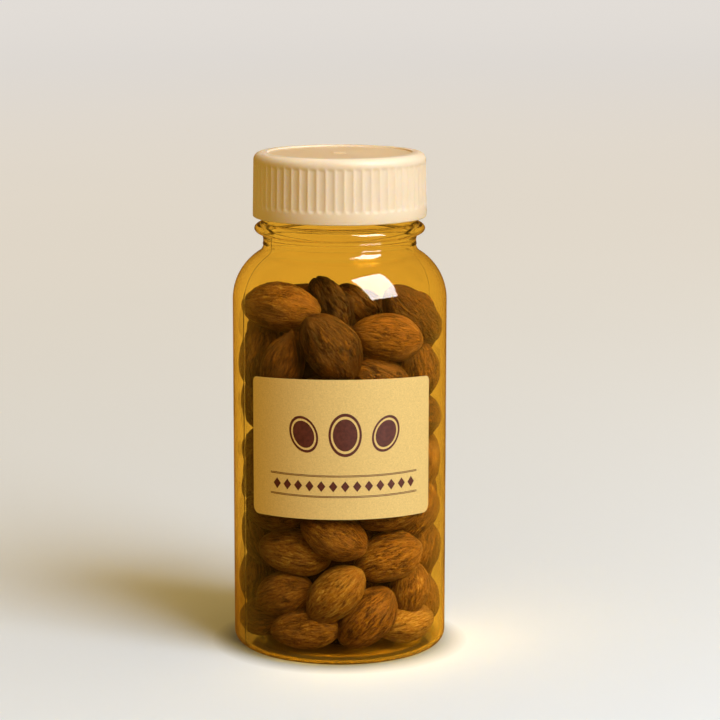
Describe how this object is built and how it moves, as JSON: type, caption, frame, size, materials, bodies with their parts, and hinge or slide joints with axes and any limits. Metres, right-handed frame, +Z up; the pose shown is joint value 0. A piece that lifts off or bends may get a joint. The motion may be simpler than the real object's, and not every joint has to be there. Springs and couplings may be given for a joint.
{
  "type": "jar of betel nuts",
  "caption": "Clear screw-top plastic jar, shut with a ribbed cream cap, filled with whole dried betel nuts and wrapped at the front by a plain paper label.",
  "frame": {"origin": "on the surface that the jar stands on, at the middle of its foot", "axes": "+Z up along the jar's axis towards the cap; the label faces -Y, so +X is to the right of someone reading it"},
  "size_m": [0.0688, 0.0693, 0.1603],
  "materials": {
    "clear_plastic": "clear amber-tinted moulded plastic, glossy",
    "cap_plastic": "cream moulded plastic, satin, with fine upright ribs",
    "label_paper": "matte beige label paper with dark brown print",
    "betel_nut": "dry brown wrinkled nut skin, matte"
  },
  "bodies": {
    "root": {"jar": "clear_plastic", "cap": "cap_plastic", "label": "label_paper", "nuts": "betel_nut"}
  },
  "joints": []
}
